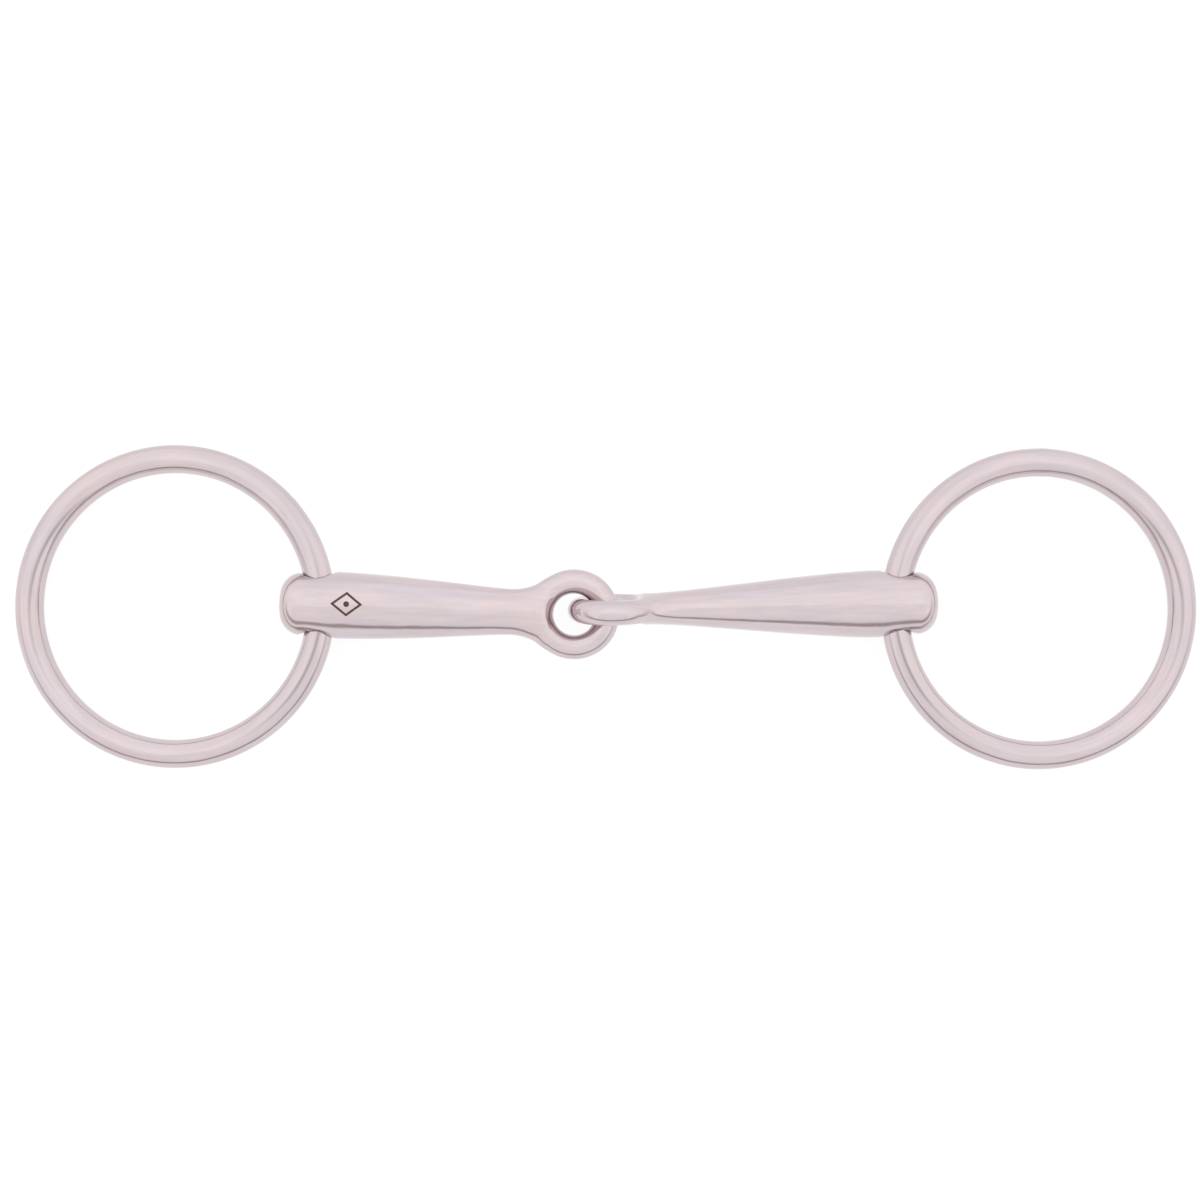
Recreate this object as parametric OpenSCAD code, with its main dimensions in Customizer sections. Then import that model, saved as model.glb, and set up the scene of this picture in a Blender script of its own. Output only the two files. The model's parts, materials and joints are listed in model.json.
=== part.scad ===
// Single-jointed loose-ring snaffle bit, laid out straight on a flat surface.
// Units are millimetres. +X runs along the mouthpiece, +Y across it and +Z up.
// The origin is on the surface, under the middle of the whole bit.

/* [Rings] */
// Diameter of the round bar that each ring is made from
ring_bar_d = 7; // [6.4:0.1:7.1]
// Clear width inside each ring
ring_inside_d = 66; // [60:1:76]
// How far the left ring's centre sits behind the middle of the bit, and the right one's in front
ring_stagger = 0.3; // [0:0.1:0.5]

/* [Mouthpiece] */
// Length of the mouthpiece between the two rings
mouth_len = 135; // [130:1:145]
// Thickness of both bars where the rings pass through
butt_d = 16.6; // [16:0.1:17.5]
// Distance from the left ring hole to the middle of the left eye
left_len = 63.1; // [60:0.1:66]
// Length of the rounded end of the left bar beyond its ring hole
left_end_len = 9.3; // [9:0.1:11]
// Length of the rounded end of the right bar beyond its ring hole
right_end_len = 9.6; // [9:0.1:11]
// Diameter of the hole that each ring runs through
ring_hole_d = 8.7; // [8.7:0.1:9.2]

/* [Centre joint] */
// Diameter of the round stock in each eye
eye_bar_d = 6; // [5.6:0.1:6]
// Clear width inside each eye
eye_inside_d = 10.2; // [10.2:0.1:10.8]
// Width of a bar at its neck, measured in the plane of its eye
neck_w = 11.3; // [10:0.1:12]
// Thickness of a bar at its neck, measured across the plane of its eye
neck_t = 7.6; // [6.8:0.1:8]

/* [How it lies] */
// Sideways slant of the left bar, in degrees
left_slant = 2.2; // [1.8:0.1:2.4]
// Sideways slant of the right bar, in degrees
right_slant = 1.2; // [0.8:0.1:1.3]
// How far the left ring hole sits behind the middle of the bit
left_rise = 0.8; // [0.5:0.1:0.9]
// Twist of the left eye from square with its ring hole, in degrees
left_twist = 1; // [0:0.5:2]
// Twist of the right eye from square with its ring hole, in degrees
right_twist = 6; // [4:0.5:6.5]
// How far the right eye's near stock sits past the middle of the left eye
link_x = 1.4; // [1.2:0.05:1.4]
// How far the right eye sits behind the middle of the left eye
link_y = 1.2; // [1:0.05:1.2]
// How far the left eye's stock hangs below the middle of the right eye
link_z = 0.7; // [0.4:0.1:0.8]

/* [Hidden] */

// Roundness of turned shapes, and of the bars' oval sections
$fn = 96;
SIDES = 40;
// Rings of points along a bar: over its end, its taper and its flare
CAP_STEPS = 6;
TAPER_STEPS = 20;
FLARE_STEPS = 6;

STEEL = [0.80, 0.77, 0.78];
RING_STEEL = [0.74, 0.71, 0.73];

// Rings: bar radius, and radius of the bar's centre line
ring_bar_r = ring_bar_d / 2;
ring_r = ring_inside_d / 2 + ring_bar_r;
// A ring curves away inside its straight hole, so it sits this far off the hole's axis
ring_shift = 0.55;
ring_reach = ring_r - ring_shift;

// Bars: the end is a flat disc with a rounded corner that swells to the full butt
END_CORNER = 5;
END_FLAT_R = 2.7;
end_r = END_FLAT_R + END_CORNER;
butt_r = butt_d / 2;
// The hole's mouths are eased by a short cone
MOUTH_EASE = 1.1;

// Eyes: stock radius, radius of its centre line, and outer radius
eye_bar_r = eye_bar_d / 2;
eye_r = eye_inside_d / 2 + eye_bar_r;
eye_out_r = eye_r + eye_bar_r;
// The neck is this far before the middle of the eye
NECK_BACK = 15.6;
// The bar is at its thinnest, across the eye, this far before the middle of the eye
THIN_BACK = 9;
// Half thickness of the bar where it ends inside the eye's stock
TONGUE_T = 2.6;
// Radius of the flare that runs from the neck into the eye, tangent to both
flare_r = (pow(NECK_BACK, 2) + pow(neck_w / 2, 2) - pow(eye_out_r, 2))
    / (2 * (eye_out_r - neck_w / 2));
// Where that flare meets the eye, before the middle of the eye
flare_back = NECK_BACK * eye_out_r / (eye_out_r + flare_r);

// Where things lie. The butts, the upright right eye and the rings' far sides
// all rest on the surface; the left eye hangs in the right one.
REST_GAP = 0.05;
hole_x = mouth_len / 2 + ring_bar_r + ring_shift;
butt_z = butt_r + REST_GAP;
right_eye_z = eye_r * cos(right_twist) + eye_bar_r;
left_stock_z = right_eye_z - link_z;
left_tilt = atan((left_stock_z - butt_z) / (left_len + eye_r));

left_hole = [-hole_x, left_rise, butt_z];
left_eye = left_hole + left_len * [
    cos(left_tilt) * cos(left_slant),
    -cos(left_tilt) * sin(left_slant),
    sin(left_tilt)
];
right_eye = [left_eye[0] + link_x + eye_r, left_eye[1] + link_y, right_eye_z];
right_run = hole_x - right_eye[0];
right_drop = right_eye_z - butt_z;
right_side = right_run * tan(right_slant);
right_len = norm([right_run, right_side, right_drop]);
right_tilt = asin(right_drop / right_len);
right_hole = [hole_x, right_eye[1] + right_side, butt_z];

// The rings droop until their far side reaches the surface
ring_droop = asin((butt_z - ring_bar_r) / (ring_reach + ring_r));
// Play of each ring in its hole, turned in the ring's own plane
left_play = left_slant + asin((left_hole[1] - ring_stagger) / ring_reach);
right_play = -right_slant - asin((right_hole[1] + ring_stagger) / ring_reach);

// Rises smoothly from 0 to 1 as u goes from 0 to 1
function ease(u) = let (v = min(max(u, 0), 1)) v * v * (3 - 2 * v);

// Falls from 1 to 0 as u goes from 0 to 1; start rounds its top and finish its foot
function taper(u, start, finish) =
    let (v = min(max(u, 0), 1)) pow(1 - pow(v, start), finish);

// Half width of the bar in the plane of its eye, s along it from the ring hole
function half_w(s, len) =
    let (full = neck_w / 2 + (butt_r - neck_w / 2) * taper(s / (len - NECK_BACK), 2, 1.4),
         past_neck = s - (len - NECK_BACK))
    past_neck > 0
        ? neck_w / 2 + flare_r - sqrt(pow(flare_r, 2) - pow(past_neck, 2))
        : full;

// Half thickness of the bar across the plane of its eye
function half_t(s, len) =
    let (from = 7,
         thin = len - THIN_BACK,
         end = len - flare_back,
         tongue = neck_t / 2 - (neck_t / 2 - TONGUE_T) * ease((s - thin) / (end - thin)))
    s > thin
        ? tongue
        : neck_t / 2 + (butt_r - neck_t / 2) * taper((s - from) / (thin - from), 1.4, 1.35);

// Share of the full section that the rounded end has reached at s
function swell(s, end_len) =
    let (shoulder = end_r / butt_r)
    shoulder + (1 - shoulder) * ease((s + end_len - END_CORNER) / end_len);

// Every section of a bar as [s, half width, half thickness], from its end to its eye
function sections(len, end_len) = [
    for (i = [0 : CAP_STEPS])
        let (turn = 90 * i / CAP_STEPS,
             half = END_FLAT_R + END_CORNER * sin(turn))
        [-end_len + END_CORNER * (1 - cos(turn)), half, half],
    for (i = [1 : TAPER_STEPS])
        let (s = -end_len + END_CORNER
                + (len - NECK_BACK + end_len - END_CORNER) * i / TAPER_STEPS)
        [s, half_w(s, len) * swell(s, end_len), half_t(s, len) * swell(s, end_len)],
    for (i = [1 : FLARE_STEPS])
        let (s = len - NECK_BACK + (NECK_BACK - flare_back) * i / FLARE_STEPS)
        [s, half_w(s, len), half_t(s, len)]
];

// A solid skinned over oval sections along X
module skin(rows) {
    last = len(rows) - 1;
    points = [
        for (row = rows)
            for (k = [0 : SIDES - 1])
                [row[0], row[1] * cos(360 * k / SIDES), row[2] * sin(360 * k / SIDES)]
    ];
    sides = [
        for (i = [0 : last - 1])
            for (k = [0 : SIDES - 1])
                let (a = i * SIDES + k,
                     b = i * SIDES + (k + 1) % SIDES)
                each [[a, a + SIDES, b], [b, a + SIDES, b + SIDES]]
    ];
    start_cap = [for (k = [0 : SIDES - 1]) k];
    end_cap = [for (k = [0 : SIDES - 1]) last * SIDES + SIDES - 1 - k];
    polyhedron(points, concat(sides, [start_cap, end_cap]), convexity = 4);
}

// Round bar of radius bar bent into a closed ring, lying in the XY plane
module hoop(centre_line, bar) {
    rotate_extrude()
        translate([centre_line, 0])
            circle(r = bar);
}

// Through hole for a ring, along Y, with both mouths eased
module ring_hole() {
    hole_r = ring_hole_d / 2;
    rotate([90, 0, 0])
        cylinder(h = butt_d + 2, r = hole_r, center = true);
    for (side = [0, 180])
        rotate([-90, 0, side])
            translate([0, 0, butt_r - MOUTH_EASE])
                cylinder(h = 2 * MOUTH_EASE, r1 = hole_r, r2 = hole_r + 2 * MOUTH_EASE);
}

// One half of the mouthpiece, from its ring hole at the origin to its eye at +X len.
// eye_turn rolls the eye about the bar: 0 is flat and 90 is upright.
module cannon(len, end_len, eye_turn) {
    difference() {
        rotate([eye_turn, 0, 0])
            union() {
                skin(sections(len, end_len));
                translate([len, 0, 0])
                    hoop(eye_r, eye_bar_r);
            }
        ring_hole();
    }
}

// A ring threaded through a hole at the origin, with its centre on the -X side
module threaded_ring(play) {
    rotate([0, -ring_droop, 0])
        rotate([0, 0, play])
            translate([-ring_reach, 0, 0])
                hoop(ring_r, ring_bar_r);
}

module left_cannon() {
    color(STEEL)
        translate(left_hole)
            rotate([0, -left_tilt, -left_slant])
                cannon(left_len, left_end_len, left_twist);
}

module right_cannon() {
    color(STEEL)
        translate(right_hole)
            rotate([0, -right_tilt, 180 + right_slant])
                cannon(right_len, right_end_len, 90 - right_twist);
}

module left_ring() {
    color(RING_STEEL)
        translate(left_hole)
            rotate([0, 0, -left_slant])
                threaded_ring(left_play);
}

module right_ring() {
    color(RING_STEEL)
        translate(right_hole)
            rotate([0, 0, 180 + right_slant])
                threaded_ring(right_play);
}

left_cannon();
right_cannon();
left_ring();
right_ring();
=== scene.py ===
"""Looks of a jointed loose-ring snaffle bit in polished stainless steel.

Every length named _MM is in millimetres and is turned into metres where a mesh is
made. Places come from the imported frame: the joints give the ring holes and their
axes, the CAD nodes give the eyes and the record's mounts give the rings.
"""
import json
import math

import bpy
import numpy as np
from mathutils import Matrix, Vector


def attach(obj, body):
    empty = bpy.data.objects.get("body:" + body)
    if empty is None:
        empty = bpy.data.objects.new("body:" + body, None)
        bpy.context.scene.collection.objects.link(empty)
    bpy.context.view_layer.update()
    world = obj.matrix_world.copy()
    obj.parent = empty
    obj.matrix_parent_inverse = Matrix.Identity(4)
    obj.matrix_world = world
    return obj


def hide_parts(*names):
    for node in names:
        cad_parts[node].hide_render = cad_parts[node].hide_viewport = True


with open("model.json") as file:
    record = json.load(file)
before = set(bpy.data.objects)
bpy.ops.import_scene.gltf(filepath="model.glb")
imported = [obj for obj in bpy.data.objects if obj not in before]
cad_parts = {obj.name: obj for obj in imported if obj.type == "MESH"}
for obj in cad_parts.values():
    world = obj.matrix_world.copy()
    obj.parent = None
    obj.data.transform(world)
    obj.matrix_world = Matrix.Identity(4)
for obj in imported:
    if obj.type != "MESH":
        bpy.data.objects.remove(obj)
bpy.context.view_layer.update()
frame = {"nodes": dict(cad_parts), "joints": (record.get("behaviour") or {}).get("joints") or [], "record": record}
NODES = frame["nodes"]
JOINTS = {joint["name"]: joint for joint in frame["joints"]}
MOUNTS = {mount["name"]: mount for mount in frame["record"]["mounts"]}
MM = 0.001

# ------------------------------------------------------------------ dimensions
BUTT_R_MM = 8.3
END_LEN_MM = {"left_cannon": 9.3, "right_cannon": 9.6}
# Roll of each eye about its bar, from the plane of the ring hole, in degrees
EYE_TURN = {"left_cannon": 1.0, "right_cannon": 84.0}
END_CORNER_MM = 5.0
END_FLAT_R_MM = 2.7
NECK_W_MM = 11.3
NECK_T_MM = 7.6
NECK_BACK_MM = 15.6
THIN_BACK_MM = 9.0
# Where a bar starts to get thinner, past its ring hole
TAPER_START_MM = 7.0
EYE_BAR_R_MM = 3.0
EYE_R_MM = 8.1
RING_R_MM = 36.5
RING_BAR_R_MM = MOUNTS["left_ring_rein"]["dims"]["r_mm"]
# Faint ridge left by each ring's weld: angle round the ring from its hole toward the
# back, height, and distance over which it fades
WELD_AT = {"left": 40.0, "right": 89.0}
WELD_MM = 0.07
WELD_FADE_MM = 1.0
# Two soft darker strokes along the top of each ring are a painted reflection: a share of
# the steel's colour is taken away where a reflection would be. Angles are in degrees, round
# the ring from its hole toward the back, and round the bar from its outer side over its top.
# Each stroke is the angle round the ring where it is darkest, the share of the brightness
# that it takes away there, its angle round the bar there, and how that angle changes with
# the distance past there and with that distance squared
RING_PAINTED_REFLECTIONS = ((-30, 0.44, 83, -0.2, 0.0), (150, 0.42, 116, -0.4, 0.003))
# How far a painted reflection stroke reaches before and past its darkest place, and to each side
PAINTED_REFLECTION_BEFORE = 20
PAINTED_REFLECTION_PAST = 50
PAINTED_REFLECTION_SIDE = 5.5
RING_HOLE_R_MM = 4.35
# The hole is this much less tall at its mouths than in its middle, above and below
MOUTH_SQUASH_MM = 0.3
# Softness of the edges: hole mouths, on their tight and open sides, and where a bar
# runs into its eye
MOUTH_TIGHT_MM = 0.3
MOUTH_OPEN_MM = 0.8
BLEND_MM = 1.2
TONGUE_ROUND_MM = 2.2
# Etched mark on the left bar: its middle in the bar's axes, half diagonals, line width,
# dot, and how far it stands above and reaches below the surface
MARK_AT_MM = (7.9, 0.4, 0.0)
MARK_HALF_MM = (3.9, 3.0)
MARK_LINE_MM = 0.55
MARK_DOT_R_MM = 0.7
MARK_PROUD_MM = 0.02
MARK_SUNK_MM = 0.15
# Points along each side of the rhombus and round its dot
MARK_SIDE_STEPS = 14
MARK_DOT_STEPS = 20
# Size of the cells that a bar's surface is drawn from
CELL_MM = 0.4
# Points round a ring and round its bar
RING_STEPS = 288
RING_BAR_STEPS = 96

# ---------------------------------------------------------------- numpy shapes


def ease(u):
    """Rises smoothly from 0 to 1."""
    v = np.clip(u, 0.0, 1.0)
    return v * v * (3 - 2 * v)


def taper(u, start, finish):
    """Falls from 1 to 0; start rounds the top of the fall and finish its foot."""
    v = np.clip(u, 0.0, 1.0)
    return (1 - v ** start) ** finish


def smooth_union(a, b, k):
    """Lower of two distances, with the crease between them filled over k."""
    h = np.clip(0.5 + 0.5 * (b - a) / k, 0.0, 1.0)
    return b * (1 - h) + a * h - k * h * (1 - h)


def round_cut(a, b, r):
    """Higher of two distances, with the edge between them rounded to r."""
    outside = np.hypot(np.maximum(a + r, 0.0), np.maximum(b + r, 0.0))
    return np.minimum(np.maximum(a, b), -r) + outside


class Cannon:
    """One half of the mouthpiece as a distance field, in its own axes.

    X runs from the ring hole to the middle of the eye and Y follows the ring hole.
    eye_turn rolls the eye about X: 0 puts it in the XY plane and 90 upright.
    """

    def __init__(self, length, end_len, eye_turn):
        self.length = length
        self.end_len = end_len
        self.turn = math.radians(eye_turn)
        eye_out = EYE_R_MM + EYE_BAR_R_MM
        half_neck = NECK_W_MM / 2
        self.flare_r = (NECK_BACK_MM ** 2 + half_neck ** 2 - eye_out ** 2) / (
            2 * (eye_out - half_neck))
        self.flare_back = NECK_BACK_MM * eye_out / (eye_out + self.flare_r)

    def swell(self, x):
        """Share of the full section that the rounded end has reached."""
        shoulder = (END_FLAT_R_MM + END_CORNER_MM) / BUTT_R_MM
        rise = ease((x + self.end_len - END_CORNER_MM) / self.end_len)
        return shoulder + (1 - shoulder) * rise

    def half_width(self, x):
        """Half width of the bar in the plane of its eye."""
        neck_x = self.length - NECK_BACK_MM
        half_neck = NECK_W_MM / 2
        full = half_neck + (BUTT_R_MM - half_neck) * taper(x / neck_x, 2, 1.4)
        past = np.clip(x - neck_x, 0.0, self.flare_r * 0.9)
        flare = half_neck + self.flare_r - np.sqrt(self.flare_r ** 2 - past ** 2)
        return np.where(x > neck_x, flare, full) * self.swell(x)

    def half_thickness(self, x):
        """Half thickness of the bar across the plane of its eye."""
        thin = self.length - THIN_BACK_MM
        along = (x - TAPER_START_MM) / (thin - TAPER_START_MM)
        half_neck = NECK_T_MM / 2
        return self.swell(x) * (half_neck + (BUTT_R_MM - half_neck) * taper(along, 1.4, 1.35))

    def __call__(self, p):
        """Distance from each point to the surface, negative inside."""
        x, along_hole, up = p[..., 0], p[..., 1], p[..., 2]
        y = along_hole * math.cos(self.turn) + up * math.sin(self.turn)
        z = up * math.cos(self.turn) - along_hole * math.sin(self.turn)
        wide, thick = self.half_width(x), self.half_thickness(x)
        reach = np.sqrt((y / wide) ** 2 + (z / thick) ** 2)
        slope = np.sqrt((y / wide ** 2) ** 2 + (z / thick ** 2) ** 2)
        side = reach * (reach - 1) / np.maximum(slope, 1e-3)
        side = np.where(slope < 1e-3, -np.minimum(wide, thick), side)
        bar = round_cut(side, -self.end_len - x, END_CORNER_MM)
        tongue_end = x - (self.length - self.flare_back + 0.8)
        bar = round_cut(bar, tongue_end, TONGUE_ROUND_MM)
        spoke = np.hypot(x - self.length, y)
        eye = np.hypot(spoke - EYE_R_MM, z) - EYE_BAR_R_MM
        solid = smooth_union(bar, eye, BLEND_MM)
        squash = MOUTH_SQUASH_MM * np.clip(along_hole / BUTT_R_MM, -1, 1) ** 2
        from_axis = np.hypot(x, up * RING_HOLE_R_MM / (RING_HOLE_R_MM - squash))
        open_side = np.clip(-x / np.maximum(from_axis, 0.5), 0, 1) ** 2
        soft = MOUTH_TIGHT_MM + (MOUTH_OPEN_MM - MOUTH_TIGHT_MM) * open_side
        return round_cut(solid, RING_HOLE_R_MM - from_axis, soft)


def gradient(field, p, step=0.02):
    """Slope of a distance field at each point."""
    out = np.empty_like(p)
    for axis in range(3):
        move = np.zeros(3)
        move[axis] = step
        out[:, axis] = (field(p + move) - field(p - move)) / (2 * step)
    return out


def settle(field, p, rounds=4):
    """Moves points onto the field's zero surface."""
    for _ in range(rounds):
        slope = gradient(field, p)
        size = np.maximum((slope ** 2).sum(1), 1e-6)
        p = p - slope * (field(p) / size)[:, None]
    return p


def skin(field, low, high, cell):
    """Vertices and quads of a field's zero surface, one vertex to each cell it crosses."""
    low, high = np.array(low, float), np.array(high, float)
    count = np.ceil((high - low) / cell).astype(int) + 1
    ticks = [low[i] + cell * np.arange(count[i]) for i in range(3)]
    grid = np.stack(np.meshgrid(*ticks, indexing="ij"), -1)
    value = field(grid)
    inside = value < 0
    cells = tuple(count - 1)
    total = np.zeros(cells + (3,))
    hits = np.zeros(cells)
    crossings = []
    for axis in range(3):
        a = [slice(None)] * 3
        b = [slice(None)] * 3
        a[axis], b[axis] = slice(None, -1), slice(1, None)
        a, b = tuple(a), tuple(b)
        cross = inside[a] != inside[b]
        share = np.where(cross, value[a] / np.where(cross, value[a] - value[b], 1), 0)
        point = grid[a] + (grid[b] - grid[a]) * share[..., None]
        crossings.append((axis, cross, inside[a]))
        u, v = [i for i in range(3) if i != axis]
        for du in (0, 1):
            for dv in (0, 1):
                pick = [slice(None)] * 3
                pick[u] = slice(du, cells[u] + du)
                pick[v] = slice(dv, cells[v] + dv)
                pick = tuple(pick)
                total += np.where(cross[pick][..., None], point[pick], 0)
                hits += cross[pick]
    used = hits > 0
    number = np.full(cells, -1)
    number[used] = np.arange(used.sum())
    verts = total[used] / hits[used][:, None]
    quads = []
    for axis, cross, a_inside in crossings:
        u, v = (axis + 1) % 3, (axis + 2) % 3
        at = np.argwhere(cross)
        at = at[(at[:, u] > 0) & (at[:, v] > 0)]
        corners = []
        for du, dv in ((-1, -1), (0, -1), (0, 0), (-1, 0)):
            q = at.copy()
            q[:, u] += du
            q[:, v] += dv
            corners.append(number[q[:, 0], q[:, 1], q[:, 2]])
        quad = np.stack(corners, 1)
        outward = a_inside[at[:, 0], at[:, 1], at[:, 2]]
        quads.append(np.where(outward[:, None], quad, quad[:, ::-1]))
    return verts, np.concatenate(quads)


def relax(verts, quads, field, rounds=3):
    """Evens out the spacing of a skin's vertices along its surface."""
    edges = np.concatenate([quads[:, [i, (i + 1) % 4]] for i in range(4)])
    for _ in range(rounds):
        total = np.zeros_like(verts)
        links = np.zeros(len(verts))
        for a, b in ((0, 1), (1, 0)):
            np.add.at(total, edges[:, a], verts[edges[:, b]])
            np.add.at(links, edges[:, a], 1)
        verts = settle(field, 0.5 * verts + 0.5 * total / links[:, None], 1)
    return settle(field, verts)


# ------------------------------------------------------------- blender helpers


def make_object(name, verts, faces, material, normals=None):
    """A smooth-shaded mesh object. Its vertices are metres in the row frame."""
    mesh = bpy.data.meshes.new(name)
    mesh.from_pydata([tuple(v) for v in verts], [], [tuple(f) for f in faces])
    mesh.polygons.foreach_set("use_smooth", [True] * len(mesh.polygons))
    mesh.update()
    if normals is not None:
        mesh.normals_split_custom_set_from_vertices([tuple(n) for n in normals])
    obj = bpy.data.objects.new(name, mesh)
    bpy.context.scene.collection.objects.link(obj)
    mesh.materials.append(material)
    return obj


def axes_matrix(origin, x, y, z):
    """Turns local coordinates in millimetres into row coordinates in metres."""
    m = Matrix.Identity(4)
    for column, axis in enumerate((x, y, z)):
        for row in range(3):
            m[row][column] = axis[row] * MM
    for row in range(3):
        m[row][3] = origin[row]
    return m


def place(points, matrix):
    """Moves an array of points through a 4 by 4 matrix."""
    m = np.array(matrix)
    return points @ m[:3, :3].T + m[:3, 3]


def node_points(node):
    """Every vertex of a CAD node, in metres."""
    vertices = NODES[node].data.vertices
    co = np.empty(len(vertices) * 3, np.float32)
    vertices.foreach_get("co", co)
    return co.reshape(-1, 3).astype(float)


# ------------------------------------------------------------------ the frame


def cannon_axes(node, joint):
    """Local axes of a cannon and its length in millimetres, from the CAD node."""
    hole = Vector(JOINTS[joint]["pos_m"])
    hole_axis = Vector(JOINTS[joint]["axis"])
    points = node_points(node)
    side = 1 if hole.x < 0 else -1
    tip = (points[:, 0] * side).max()
    eye_x = (tip - (EYE_R_MM + EYE_BAR_R_MM) * MM) * side
    beyond = points[points[:, 0] * side > eye_x * side]
    middle = (beyond.min(0) + beyond.max(0)) / 2
    eye = Vector((eye_x, middle[1], middle[2]))
    x = (eye - hole).normalized()
    across = (hole_axis - x * hole_axis.dot(x)).normalized()
    return hole, x, across, (eye - hole).length / MM


def ring_axes(side):
    """Centre and in-plane axes of a ring, from its mounts."""
    hole = Vector(JOINTS[side + "_ring_swing"]["pos_m"])
    far = Vector(MOUNTS[side + "_ring_rein"]["pos_m"])
    top = Vector(MOUNTS[side + "_ring_cheekpiece"]["pos_m"])
    x = (hole - far).normalized()
    centre = far + x * RING_R_MM * MM
    up = top - centre
    y = (up - x * up.dot(x)).normalized()
    return centre, x, y, x.cross(y)


# ------------------------------------------------------------------ materials

# Waves and fine lines of the polish: cycles per millimetre, and depths in metres
WAVE_STRETCH = (0.07, 0.16, 0.16)
WAVE_DEPTH = 0.00018
LINE_DEPTH = 0.000004
# Lengthwise streaks: cycles per millimetre, and share of the steel's own tone
STREAK_STRETCH = (0.06, 0.5, 0.5)
STREAK_DARK = 0.945
STREAK_LIGHT = 1.03
# Roughness of the polish, what its lines add, and what scuffs add above their threshold
POLISH_ROUGH = 0.075
LINE_ROUGH = 0.07
SCUFF_FROM = 0.52
SCUFF_ROUGH = 0.5
# Colour of the steel, its warm and cool patches, and the fine lines of each polish
STEEL_TINT = (0.615, 0.538, 0.553)
WARM_CAST = (1.02, 0.995, 0.985)
COOL_CAST = (0.975, 0.985, 1.01)
RING_SHADE = 0.99
CANNON_GRAIN = (0.12, 2.2, 2.2)
RING_GRAIN = (0.1, 2.2, 2.2)


class Nodes:
    """Short way to add and join shader nodes."""

    def __init__(self, tree):
        self.tree = tree

    def add(self, kind, **settings):
        node = self.tree.nodes.new(kind)
        for key, value in settings.items():
            setattr(node, key, value)
        return node

    def link(self, a, b):
        self.tree.links.new(a, b)

    def math(self, operation, a, b=None, c=None):
        """Output of a math node; each input is a number or another output."""
        node = self.add("ShaderNodeMath", operation=operation)
        for socket, value in zip(node.inputs, (a, b, c)):
            if value is None:
                continue
            if isinstance(value, (int, float)):
                socket.default_value = value
            else:
                self.link(value, socket)
        return node.outputs[0]

    def smooth(self, value, start, end, at_start, at_end):
        """Goes smoothly from at_start to at_end as value goes from start to end."""
        node = self.add("ShaderNodeMapRange", interpolation_type="SMOOTHSTEP")
        if start > end:
            start, end, at_start, at_end = end, start, at_end, at_start
        for name, number in (("From Min", start), ("From Max", end),
                             ("To Min", at_start), ("To Max", at_end)):
            node.inputs[name].default_value = number
        self.link(value, node.inputs["Value"])
        return node.outputs[0]

    def noise(self, vector, scale, detail=2.0, roughness=0.5):
        """Cloudy pattern, around 0.5."""
        node = self.add("ShaderNodeTexNoise")
        node.inputs["Scale"].default_value = scale
        node.inputs["Detail"].default_value = detail
        node.inputs["Roughness"].default_value = roughness
        self.link(vector, node.inputs["Vector"])
        return node.outputs["Fac"]

    def stretch(self, vector, scale):
        """Vector with each part multiplied by its own number."""
        node = self.add("ShaderNodeVectorMath", operation="MULTIPLY")
        node.inputs[1].default_value = scale
        self.link(vector, node.inputs[0])
        return node.outputs[0]

    def ramp(self, fac, stops):
        """Colour that goes through the stops as fac goes from 0 to 1."""
        node = self.add("ShaderNodeValToRGB")
        points = node.color_ramp.elements
        while len(points) < len(stops):
            points.new(0.5)
        for point, (at, colour) in zip(points, stops):
            point.position = at
            point.color = colour if len(colour) == 4 else (*colour, 1)
        self.link(fac, node.inputs[0])
        return node.outputs[0]


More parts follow.
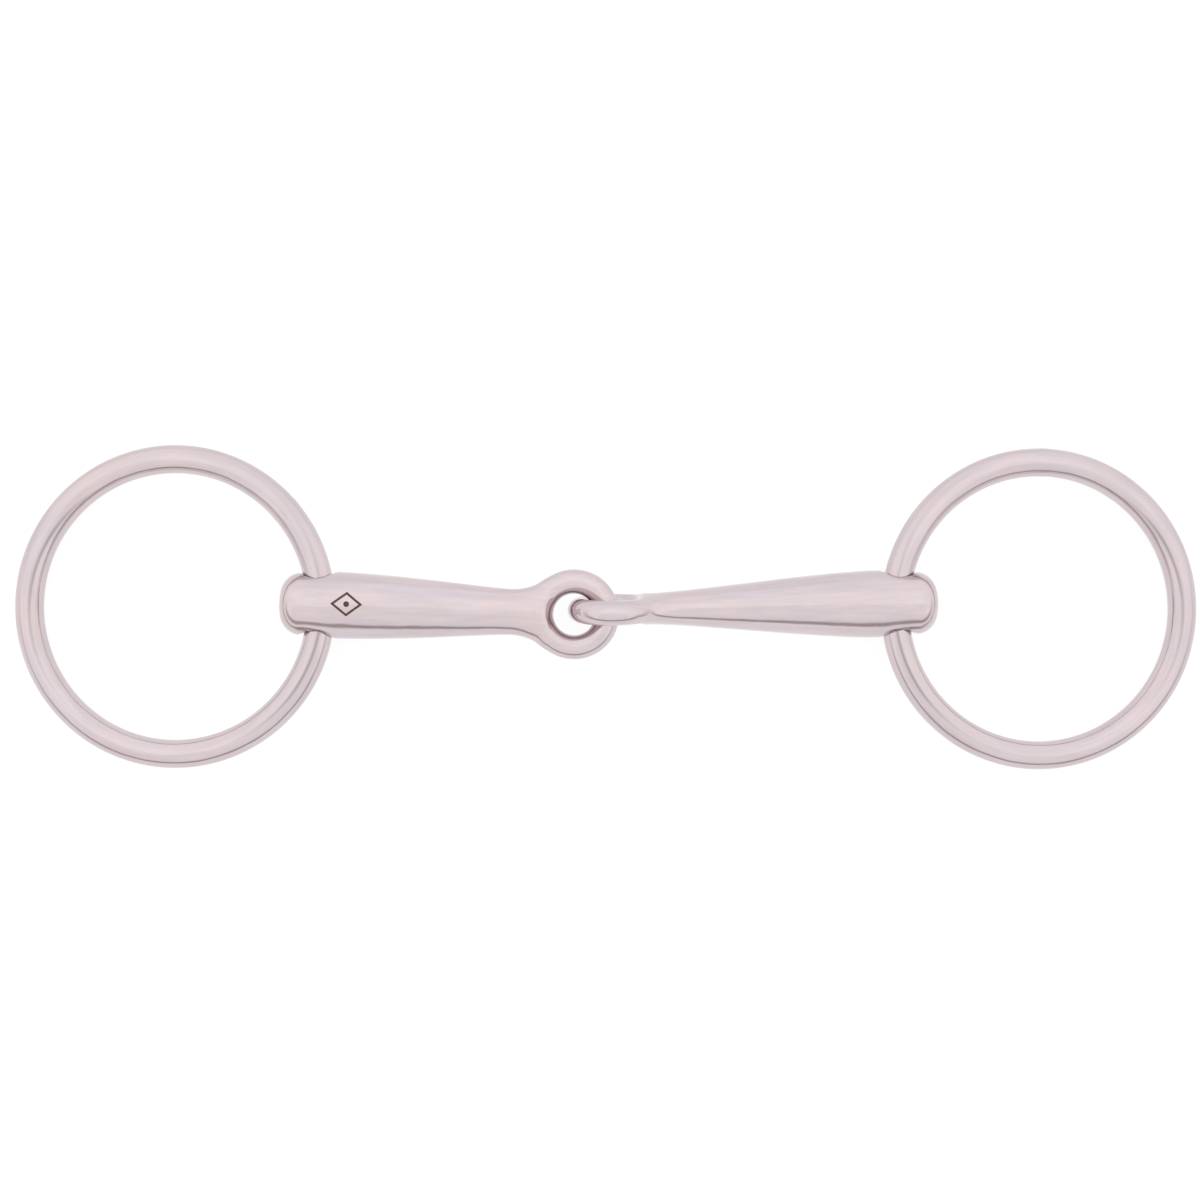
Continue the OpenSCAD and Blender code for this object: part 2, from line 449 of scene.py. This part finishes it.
def steel(name, tint, polish_stretch):
    """Polished stainless steel with a faint warm cast, polishing lines and hairline wear; on the rings, a painted
    reflection darkens the colour in two strokes.

    The pattern is read in the piece's own axes from its "polish" attribute, which
    holds millimetres along, round and out of the bar.
    """
    material = bpy.data.materials.new(name)
    material.use_nodes = True
    tree = material.node_tree
    n = Nodes(tree)
    shader = tree.nodes["Principled BSDF"]
    shader.inputs["Metallic"].default_value = 1.0
    where = n.add("ShaderNodeAttribute", attribute_name="polish").outputs["Vector"]
    cloud = n.noise(where, 0.09, 3.0)
    warm = tuple(c * k for c, k in zip(tint, WARM_CAST))
    cool = tuple(c * k for c, k in zip(tint, COOL_CAST))
    # faint lengthwise streaks, a little darker and lighter than the rest
    streaks = n.noise(n.stretch(where, STREAK_STRETCH), 1.0, 3.0, 0.6)
    streaks = n.ramp(streaks, ((0.33, (STREAK_DARK,) * 3), (0.62, (STREAK_LIGHT,) * 3)))
    tone = n.add("ShaderNodeVectorMath", operation="MULTIPLY")
    n.link(n.ramp(cloud, ((0.35, warm), (0.65, cool))), tone.inputs[0])
    n.link(streaks, tone.inputs[1])
    # only the rings have the painted reflection strokes; on a bar the attribute isn't there and reads 0
    painted_reflection = n.add("ShaderNodeAttribute", attribute_name="painted_reflection").outputs["Fac"]
    # the painted reflection takes its share away from the steel's colour
    toned = n.add("ShaderNodeVectorMath", operation="SCALE")
    n.link(tone.outputs[0], toned.inputs[0])
    n.link(n.math("SUBTRACT", 1.0, painted_reflection), toned.inputs["Scale"])
    n.link(toned.outputs[0], shader.inputs["Base Color"])
    lines = n.noise(n.stretch(where, polish_stretch), 1.0, 4.0, 0.65)
    scuffs = n.noise(where, 0.8, 5.0, 0.7)
    scuff_mask = n.math("MULTIPLY", n.math("SUBTRACT", scuffs, SCUFF_FROM), SCUFF_ROUGH)
    scuff_mask = n.math("MAXIMUM", scuff_mask, 0.0)
    rough = n.math("MULTIPLY_ADD", lines, LINE_ROUGH, POLISH_ROUGH)
    n.link(n.math("ADD", rough, scuff_mask), shader.inputs["Roughness"])
    # the surface is slightly wavy under its fine lines
    waves = n.noise(n.stretch(where, WAVE_STRETCH), 1.0, 2.0)
    wavy = n.add("ShaderNodeBump")
    wavy.inputs["Strength"].default_value = 1.0
    wavy.inputs["Distance"].default_value = WAVE_DEPTH
    n.link(waves, wavy.inputs["Height"])
    bump = n.add("ShaderNodeBump")
    bump.inputs["Strength"].default_value = 1.0
    bump.inputs["Distance"].default_value = LINE_DEPTH
    n.link(lines, bump.inputs["Height"])
    n.link(wavy.outputs[0], bump.inputs["Normal"])
    n.link(bump.outputs[0], shader.inputs["Normal"])
    return material


def etched():
    """Dark matt oxide left by etching."""
    material = bpy.data.materials.new("etched_mark")
    material.use_nodes = True
    tree = material.node_tree
    n = Nodes(tree)
    shader = tree.nodes["Principled BSDF"]
    shader.inputs["Metallic"].default_value = 0.6
    where = n.add("ShaderNodeAttribute", attribute_name="polish").outputs["Vector"]
    grain = n.noise(where, 6.0, 3.0)
    stops = ((0.3, (0.065, 0.036, 0.026)), (0.7, (0.14, 0.083, 0.064)))
    n.link(n.ramp(grain, stops), shader.inputs["Base Color"])
    n.link(n.math("MULTIPLY_ADD", grain, 0.2, 0.5), shader.inputs["Roughness"])
    return material


def add_polish(obj, points):
    """Stores each vertex's place in its piece's own axes, in millimetres."""
    layer = obj.data.attributes.new("polish", "FLOAT_VECTOR", "POINT")
    layer.data.foreach_set("vector", np.asarray(points, np.float32).ravel())


CANNON_STEEL = steel("cannon_steel", STEEL_TINT, CANNON_GRAIN)
RING_STEEL = steel("ring_steel", tuple(c * RING_SHADE for c in STEEL_TINT), RING_GRAIN)
ETCHED = etched()

# --------------------------------------------------------------------- pieces


def build_cannon(node, joint):
    """One bar with its eye and its hole, in place of the CAD node."""
    hole, x, y, length = cannon_axes(node, joint)
    field = Cannon(length, END_LEN_MM[node], EYE_TURN[node])
    reach = EYE_R_MM + EYE_BAR_R_MM + 1
    low = (-END_LEN_MM[node] - 1, -reach, -reach)
    high = (length + reach, reach, reach)
    verts, quads = skin(field, low, high, CELL_MM)
    verts = relax(verts, quads, field)
    normals = gradient(field, verts)
    normals /= np.linalg.norm(normals, axis=1)[:, None]
    matrix = axes_matrix(hole, x, y, x.cross(y))
    turn = np.array(matrix)[:3, :3] / MM
    piece = make_object(node + "_steel", place(verts, matrix), quads, CANNON_STEEL,
                        normals @ turn.T)
    add_polish(piece, verts)
    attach(piece, node)
    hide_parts(node)
    return field, matrix


def build_mark(field, matrix):
    """A small etched rhombus with a dot, laid just proud of the left bar's top."""
    centre = np.array(MARK_AT_MM)
    half_long, half_wide = MARK_HALF_MM
    shapes = []
    corners = [(half_long, 0), (0, half_wide), (-half_long, 0), (0, -half_wide)]
    inner = 1 - MARK_LINE_MM * math.hypot(half_long, half_wide) / (half_long * half_wide)
    rim = []
    for (ax, ay), (bx, by) in zip(corners, corners[1:] + corners[:1]):
        for i in range(MARK_SIDE_STEPS):
            share = i / MARK_SIDE_STEPS
            rim.append((ax + (bx - ax) * share, ay + (by - ay) * share))
    outer = [(x, y, 0) for x, y in rim]
    middle = [(x * inner, y * inner, 0) for x, y in rim]
    count = len(rim)
    shapes.append((outer + middle, [
        (i, (i + 1) % count, count + (i + 1) % count, count + i) for i in range(count)]))
    turns = [2 * math.pi * i / MARK_DOT_STEPS for i in range(MARK_DOT_STEPS)]
    dot = [(0, 0, 0)] + [(MARK_DOT_R_MM * math.cos(a), MARK_DOT_R_MM * math.sin(a), 0)
                         for a in turns]
    shapes.append((dot, [
        (0, 1 + i, 1 + (i + 1) % MARK_DOT_STEPS) for i in range(MARK_DOT_STEPS)]))
    verts, faces = [], []
    for points, polygons in shapes:
        first = len(verts)
        verts += points
        faces += [tuple(first + i for i in polygon) for polygon in polygons]
    top = np.array(verts, float) + centre
    top[:, 2] = BUTT_R_MM
    # drop each point straight down to the bar's surface
    for _ in range(12):
        top[:, 2] -= field(top)
    normal = gradient(field, top)
    normal /= np.linalg.norm(normal, axis=1)[:, None]
    lifted = top + normal * MARK_PROUD_MM
    sunk = top - normal * MARK_SUNK_MM
    solid_faces = list(faces)
    n_top = len(lifted)
    solid_faces += [tuple(n_top + i for i in reversed(face)) for face in faces]
    edges = [edge for face in faces for edge in zip(face, face[1:] + face[:1])]
    one_way = set(edges)
    for a, b in edges:
        if (b, a) not in one_way:
            solid_faces.append((b, a, n_top + a, n_top + b))
    local = np.concatenate([lifted, sunk])
    mark = make_object("etched_rhombus", place(local, matrix), solid_faces, ETCHED)
    add_polish(mark, local)
    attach(mark, "left_cannon")


def painted_reflection_depth(turn, over):
    """Share of the brightness that the painted reflection takes away at an angle round the ring and round its bar.
    """
    total = 0.0
    for darkest, depth, middle, lean, bend in RING_PAINTED_REFLECTIONS:
        past = (turn - darkest + 180) % 360 - 180
        reach = np.where(past < 0, PAINTED_REFLECTION_BEFORE, PAINTED_REFLECTION_PAST)
        off = over - middle - lean * past - bend * past ** 2
        total = total + depth * np.exp(-(past / reach) ** 2 - (off / PAINTED_REFLECTION_SIDE) ** 2)
    return total


def build_ring(side):
    """A round bar bent into a ring, with its weld and its painted reflection strokes, in place of the CAD node."""
    centre, x, y, z = ring_axes(side)
    a = np.linspace(0, 2 * math.pi, RING_STEPS, endpoint=False)[:, None]
    b = np.linspace(0, 2 * math.pi, RING_BAR_STEPS, endpoint=False)[None, :]
    from_weld = (a - math.radians(WELD_AT[side])) * RING_R_MM / WELD_FADE_MM
    bar = RING_BAR_R_MM + WELD_MM * np.exp(-from_weld ** 2)
    spoke = RING_R_MM + bar * np.cos(b)
    local = np.stack([np.cos(a) * spoke, np.sin(a) * spoke,
                      bar * np.sin(b)], -1).reshape(-1, 3)
    faces = []
    for i in range(RING_STEPS):
        p = i * RING_BAR_STEPS
        q = (i + 1) % RING_STEPS * RING_BAR_STEPS
        for j in range(RING_BAR_STEPS):
            k = (j + 1) % RING_BAR_STEPS
            faces.append((p + j, q + j, q + k, p + k))
    matrix = axes_matrix(centre, x, y, z)
    piece = make_object(side + "_ring_steel", place(local, matrix), faces, RING_STEEL)
    along = a * RING_R_MM + 0 * b
    out = RING_BAR_R_MM * np.cos(b) + 0 * a
    up = RING_BAR_R_MM * np.sin(b) + 0 * a
    add_polish(piece, np.stack([along, out, up], -1).reshape(-1, 3))
    # the painted reflection strokes keep to the side of the ring that lies on top
    top = 1 if z[2] > 0 else -1
    over = (np.degrees(b) * top + 180) % 360 - 180
    painted_reflection_share = painted_reflection_depth(np.degrees(a), over)
    # each vertex keeps the share of its colour that the painted reflection takes away
    layer = piece.data.attributes.new("painted_reflection", "FLOAT", "POINT")
    layer.data.foreach_set("value", painted_reflection_share.astype(np.float32).ravel())
    body = side + "_ring"
    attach(piece, body)
    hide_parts(body)


left_field, left_matrix = build_cannon("left_cannon", "left_ring_swing")
build_mark(left_field, left_matrix)
build_cannon("right_cannon", "right_ring_swing")
build_ring("left")
build_ring("right")

# --------------------------------------------------------------- studio, camera

FLOOR_HALF = 6.0
# Brightness of the tent, and of the light table, which glows a little by itself
TENT_LIGHT = 1.26
TABLE_GLOW = 0.85
TABLE_WHITE = 0.2
# The tent's brightest direction, how its light falls with the angle from there, and its
# dim top: each is the two angles in degrees and the values at them
GLOW_AXIS = (0.0, 0.26, 0.966)
GLOW_NEAR = (10.0, 45.0, 0.05, 0.0)
GLOW_FAR = (40.0, 100.0, 0.97, 0.89)
TOP_DIM = (3.0, 9.0, 0.93, 1.0)
# The tent's round front panel: its direction, its radius in degrees with the width of
# its soft edge inside and outside, and its brightness
PANEL_AXIS = (0.0, -0.602, 0.799)
PANEL_R = 37.5
PANEL_SOFT = (5.0, 4.0)
PANEL_LIGHT = 0.93
# Seam round the tent's foot: angle down from the top and half width in degrees, share
# of that width that is fully dark, share of the light it takes away, and its warm grey
SEAM_AT = 76.0
SEAM_WIDTH = 12.0
SEAM_CORE = 0.2
SEAM_DARK = 0.56
SEAM_TINT = (1.0, 0.9, 0.89)
# Camera: the point that it looks at, its distance from there in metres, its lean to
# the left in degrees and its lens in millimetres
CAMERA_TARGET = (-0.00212, 0.00191, 0.008)
CAMERA_DISTANCE = 0.515
CAMERA_LEAN = -0.87
CAMERA_LENS = 62.44


def build_floor():
    """A wide white light table under the bit."""
    mesh = bpy.data.meshes.new("floor")
    s = FLOOR_HALF
    mesh.from_pydata([(-s, -s, 0), (s, -s, 0), (s, s, 0), (-s, s, 0)], [], [(0, 1, 2, 3)])
    floor = bpy.data.objects.new("floor", mesh)
    bpy.context.scene.collection.objects.link(floor)
    material = bpy.data.materials.new("pale_floor")
    material.use_nodes = True
    shader = material.node_tree.nodes["Principled BSDF"]
    shader.inputs["Base Color"].default_value = (TABLE_WHITE, TABLE_WHITE, TABLE_WHITE, 1)
    shader.inputs["Emission Color"].default_value = (1, 1, 1, 1)
    shader.inputs["Emission Strength"].default_value = TABLE_GLOW
    shader.inputs["Roughness"].default_value = 0.9
    shader.inputs["Specular IOR Level"].default_value = 0.0
    mesh.materials.append(material)


def build_world():
    """A white light tent over a white table, with a dark seam where the two meet."""
    world = bpy.data.worlds.new("studio")
    bpy.context.scene.world = world
    world.use_nodes = True
    tree = world.node_tree
    tree.nodes.clear()
    n = Nodes(tree)
    out = n.add("ShaderNodeOutputWorld")
    unit = n.add("ShaderNodeVectorMath", operation="NORMALIZE")
    n.link(n.add("ShaderNodeTexCoord").outputs["Generated"], unit.inputs[0])
    unit = unit.outputs[0]
    axes = n.add("ShaderNodeSeparateXYZ")
    n.link(unit, axes.inputs[0])
    _, y, z = axes.outputs
    from_top = n.math("MULTIPLY", n.math("ARCCOSINE", z), 180 / math.pi)
    # the tent is brightest a little behind its top
    glow = n.add("ShaderNodeVectorMath", operation="DOT_PRODUCT")
    n.link(unit, glow.inputs[0])
    glow.inputs[1].default_value = GLOW_AXIS
    from_glow = n.math("MULTIPLY", n.math("ARCCOSINE", glow.outputs["Value"]), 180 / math.pi)
    tent = n.math("ADD", n.smooth(from_glow, *GLOW_NEAR), n.smooth(from_glow, *GLOW_FAR))
    # the opening in the top is a little dim
    tent = n.math("MULTIPLY", tent, n.smooth(from_top, *TOP_DIM))
    # the front panel is round and a little dimmer
    panel = n.add("ShaderNodeVectorMath", operation="DOT_PRODUCT")
    n.link(unit, panel.inputs[0])
    panel.inputs[1].default_value = PANEL_AXIS
    from_panel = n.math("MULTIPLY", n.math("ARCCOSINE", panel.outputs["Value"]), 180 / math.pi)
    inside, outside = PANEL_R - PANEL_SOFT[0], PANEL_R + PANEL_SOFT[1]
    tent = n.math("MULTIPLY", tent, n.smooth(from_panel, inside, outside, PANEL_LIGHT, 1.0))
    # a wide seam runs round the tent's foot, darkest in front and missing behind
    toward = n.math("MULTIPLY_ADD", y, -0.5, 0.5)
    off_seam = n.math("ABSOLUTE", n.math("SUBTRACT", from_top, SEAM_AT))
    core = SEAM_WIDTH * SEAM_CORE
    seam = n.math("MULTIPLY", n.smooth(off_seam, core, SEAM_WIDTH, 1.0, 0.0),
                  n.smooth(toward, 0.3, 1.0, 0.0, SEAM_DARK))
    light = n.math("MULTIPLY", tent, TENT_LIGHT)
    shade = n.math("MULTIPLY", n.math("SUBTRACT", 1.0, seam), light)
    tint = n.ramp(n.noise(unit, 1.6, 1.0), (
        (0.35, (1.0, 0.985, 0.97)), (0.5, (1.0, 1.0, 1.0)), (0.65, (0.975, 0.98, 1.0))))
    # the seam's cloth is a warm grey
    cloth = n.add("ShaderNodeVectorMath", operation="MULTIPLY")
    n.link(tint, cloth.inputs[0])
    n.link(n.ramp(seam, ((0.0, (1.0, 1.0, 1.0)), (SEAM_DARK, SEAM_TINT))), cloth.inputs[1])
    lit = n.add("ShaderNodeBackground")
    n.link(cloth.outputs[0], lit.inputs["Color"])
    n.link(shade, lit.inputs["Strength"])
    # the backdrop itself is plain white
    plain = n.add("ShaderNodeBackground")
    plain.inputs["Color"].default_value = (1, 1, 1, 1)
    plain.inputs["Strength"].default_value = 1.0
    mix = n.add("ShaderNodeMixShader")
    n.link(n.add("ShaderNodeLightPath").outputs["Is Camera Ray"], mix.inputs[0])
    n.link(lit.outputs[0], mix.inputs[1])
    n.link(plain.outputs[0], mix.inputs[2])
    n.link(mix.outputs[0], out.inputs["Surface"])


def build_camera():
    """Looks straight down on the bit from a little to its left."""
    camera = bpy.data.cameras.new("camera")
    camera.sensor_width = 36
    camera.lens = CAMERA_LENS
    obj = bpy.data.objects.new("camera", camera)
    bpy.context.scene.collection.objects.link(obj)
    lean = math.radians(CAMERA_LEAN)
    back = Vector((math.sin(lean), 0, math.cos(lean)))
    up = Vector((0, 1, 0))
    right = up.cross(back)
    stand = Vector(CAMERA_TARGET) + back * CAMERA_DISTANCE
    obj.matrix_world = Matrix((
        (right.x, up.x, back.x, stand.x),
        (right.y, up.y, back.y, stand.y),
        (right.z, up.z, back.z, stand.z),
        (0, 0, 0, 1)))
    camera.clip_start, camera.clip_end = 0.01, 50
    bpy.context.scene.camera = obj


build_floor()
build_world()
build_camera()
bpy.context.scene.view_settings.view_transform = "Standard"
